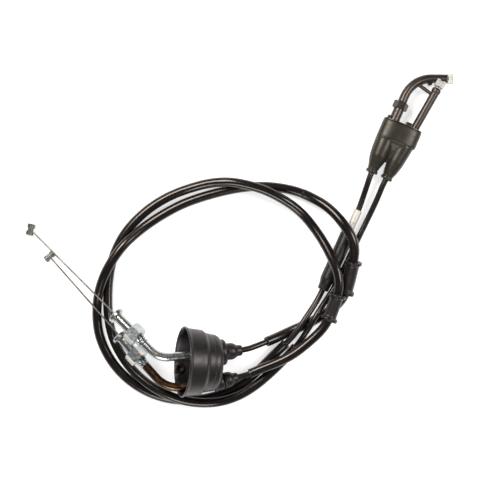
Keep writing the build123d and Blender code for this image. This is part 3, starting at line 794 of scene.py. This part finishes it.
# ---- boot ------------------------------------------------------------------------------------
def make_boot():
    """Trouser-shaped rubber boot: an oval body with a step, two legs with beaded ends and a web."""
    body = solid_mesh(
        "body",
        [
            slot_ring(boot_line, -38.0, 7.0, 5.0, -1.5),
            slot_ring(boot_line, -32.0, 12.0, 8.4, -0.9),
            slot_ring(boot_line, -26.0, 22.0, 11.4, -0.7),
            slot_ring(boot_line, -22.0, 33.0, 15.0, -1.0),
            slot_ring(boot_line, -19.6, 35.6, 17.4, -1.0),
            slot_ring(boot_line, -17.8, 36.6, 18.4, -0.6),
            slot_ring(boot_line, -17.0, 38.2, 19.4, 0.0),
            slot_ring(boot_line, -16.0, BOOT_WIDTH, BOOT_HEIGHT, 0.3),
            slot_ring(boot_line, -0.8, BOOT_WIDTH, BOOT_HEIGHT, 0.4),
            slot_ring(boot_line, 0.0, BOOT_WIDTH - 0.8, BOOT_HEIGHT - 0.8, 0.4),
        ],
    )
    legs = {
        "pull": [
            (0, 5.2), (0.6, 5.8), (2.4, 5.8), (3.2, 4.8), (7.6, 6.0), (12, 7.3), (16.6, 8.5),
            (24, 9.2), (34, 9.6),
        ],
        "return": [
            (0, 5.2), (0.6, 5.8), (2.4, 5.8), (3.2, 4.9), (8, 6.3), (13, 7.2), (18.6, 7.9),
            (28, 8.2), (36, 8.4),
        ],
    }
    added = [
        solid_mesh("leg", round_rings(carb_lines[side], outline)) for side, outline in legs.items()
    ]
    walls = 4.4                     # both walls of the mouth together
    mouth_ends = (-9.0, 5.0)
    hollow = solid_mesh(
        "mouth",
        [slot_ring(boot_line, s, BOOT_WIDTH - walls, BOOT_HEIGHT - walls) for s in mouth_ends],
    )
    removed = [hollow]
    for side, way_r in (("pull", BARREL_R), ("return", TUBE_R)):
        line = carb_lines[side]
        removed.append(solid_mesh("way", round_rings(line, [(-2.0, 2.9), (14.0, 2.9)], 32)))
        removed.append(solid_mesh("way", round_rings(line, [(12.0, way_r), (60.0, way_r)], 32)))
    piece = combine("carb_boot_rubber", body, added, removed)
    soften(piece, 0.5, 4, 0.5)
    return finish_piece(piece, "boot_rubber", ROOT, "carb_boot", sharp_deg=80)


make_boot()


# ---- plate in the boot's mouth ---------------------------------------------------------------
def make_mouth_plate():
    """Plate that fills the boot's mouth: a thin flange over the lip, and two lugs."""
    plug = solid_mesh("plug", [slot_ring(boot_line, s, 33.8, 15.0) for s in (-4.0, 0.6)])
    flange = [(0.05, 0.6), (0.3, 0.0), (1.0, 0.0), (1.25, 0.6)]
    flange_rings = [slot_ring(boot_line, s, 38.0 - cut, 18.6 - cut, 0.3) for s, cut in flange]
    parts = [solid_mesh("flange", flange_rings)]
    for shift, width, height, reach in ((-14.8, 3.2, 6.0, 4.6), (5.4, 6.6, 7.0, 5.0)):
        lug = ((0.4, width), (reach - 0.4, width), (reach, width - 0.5))
        lug_rings = [slot_ring(boot_line, s, across, height, shift, power=6) for s, across in lug]
        parts.append(solid_mesh("lug", lug_rings))
    ways = [
        solid_mesh("way", round_rings(carb_lines[side], [(40.0, way_r), (66.0, way_r)], 32))
        for side, way_r in (("pull", BARREL_R + 0.05), ("return", TUBE_R + 0.05))
    ]
    piece = combine("mouth_plate_black", plug, parts, ways)
    return finish_piece(piece, "black_pipe", ROOT, "mouth_plate", sharp_deg=40)


make_mouth_plate()


# ---- stranded wires and threads --------------------------------------------------------------
def make_thread(name, line, start, end, pitch=1.25):
    """Ridges of a thread, where it shows beyond the nut."""
    outline = [(start, THREAD_R - 0.5)]
    turns = math.floor((end - start) / pitch)
    for k in range(turns):
        foot = start + pitch * k
        outline += [(foot, THREAD_R + 0.02), (foot + pitch / 2, THREAD_R + 0.42)]
    outline += [(start + pitch * turns, THREAD_R + 0.02), (start + pitch * turns, THREAD_R - 0.5)]
    piece = add_object(name, swept_mesh(name, Straight(line), outline, segments=48))
    return finish_piece(piece, "zinc_plated", ROOT)


NUT_END = 30.7
THREAD_END = 35.0
for side, line in grip_lines.items():
    extra = shank_extras[side]
    make_thread(f"{side}_thread_ridges", line, NUT_END + extra + 0.3, THREAD_END + extra - 0.3)


def make_stranded_wire(name, node, line, start, end, body, strands=9, lay=9.0):
    """Twisted wire: a lobed section that turns as it goes along."""

    def lobes(s, angle):
        turned = angle - 2 * math.pi * (s - start) / lay
        return 0.93 + 0.07 * abs(math.cos(turned * strands / 2))

    outline = [(start, 0.02), (start, WIRE_R * 0.8), (start + 0.2, WIRE_R)]
    steps = math.ceil((end - start) / 0.6)
    outline += [(start + 0.2 + (end - start - 0.4) * k / steps, WIRE_R) for k in range(1, steps + 1)]
    outline += [(end, WIRE_R * 0.8), (end, 0.02)]
    mesh = swept_mesh(name, Straight(line), outline, segments=36, shape=lobes)
    piece = add_object(name, mesh)
    return finish_piece(piece, "stranded_wire", body, node, sharp_deg=60)


for side, line in grip_lines.items():
    free_length, nipple_r = grip_wires[side]
    make_stranded_wire(
        f"{side}_grip_strands",
        f"{side}_grip_wire",
        line,
        0.4 - free_length - nipple_r,
        GRIP_STUB,
        f"{side}_grip_end",
    )
for side, (tip, gap, nipple_r) in carb_wires.items():
    make_stranded_wire(
        f"{side}_carb_strands",
        f"{side}_carb_wire",
        tip,
        -STROKE - 2.0,
        gap + nipple_r - 0.4,
        f"{side}_carb_end",
    )

# ---- CAD nodes that stay: materials, and soft edges ------------------------------------------
SATIN_NODES = ("adjuster_ferrule", "pull_carb_nipple", "return_carb_nipple")
CAD_SHARP_DEG = 28
cad_slots = {row["node"]: row["material_slot"] for row in frame["record"]["subparts"]}
for node, piece in frame["nodes"].items():
    if piece.hide_render:
        continue
    piece.data.materials.clear()
    look = "satin_zinc" if node in SATIN_NODES else cad_slots[node]
    piece.data.materials.append(materials[look])
    piece.data.shade_smooth()
    piece.data.set_sharp_from_angle(angle=math.radians(CAD_SHARP_DEG))

make_camera()
make_stage()
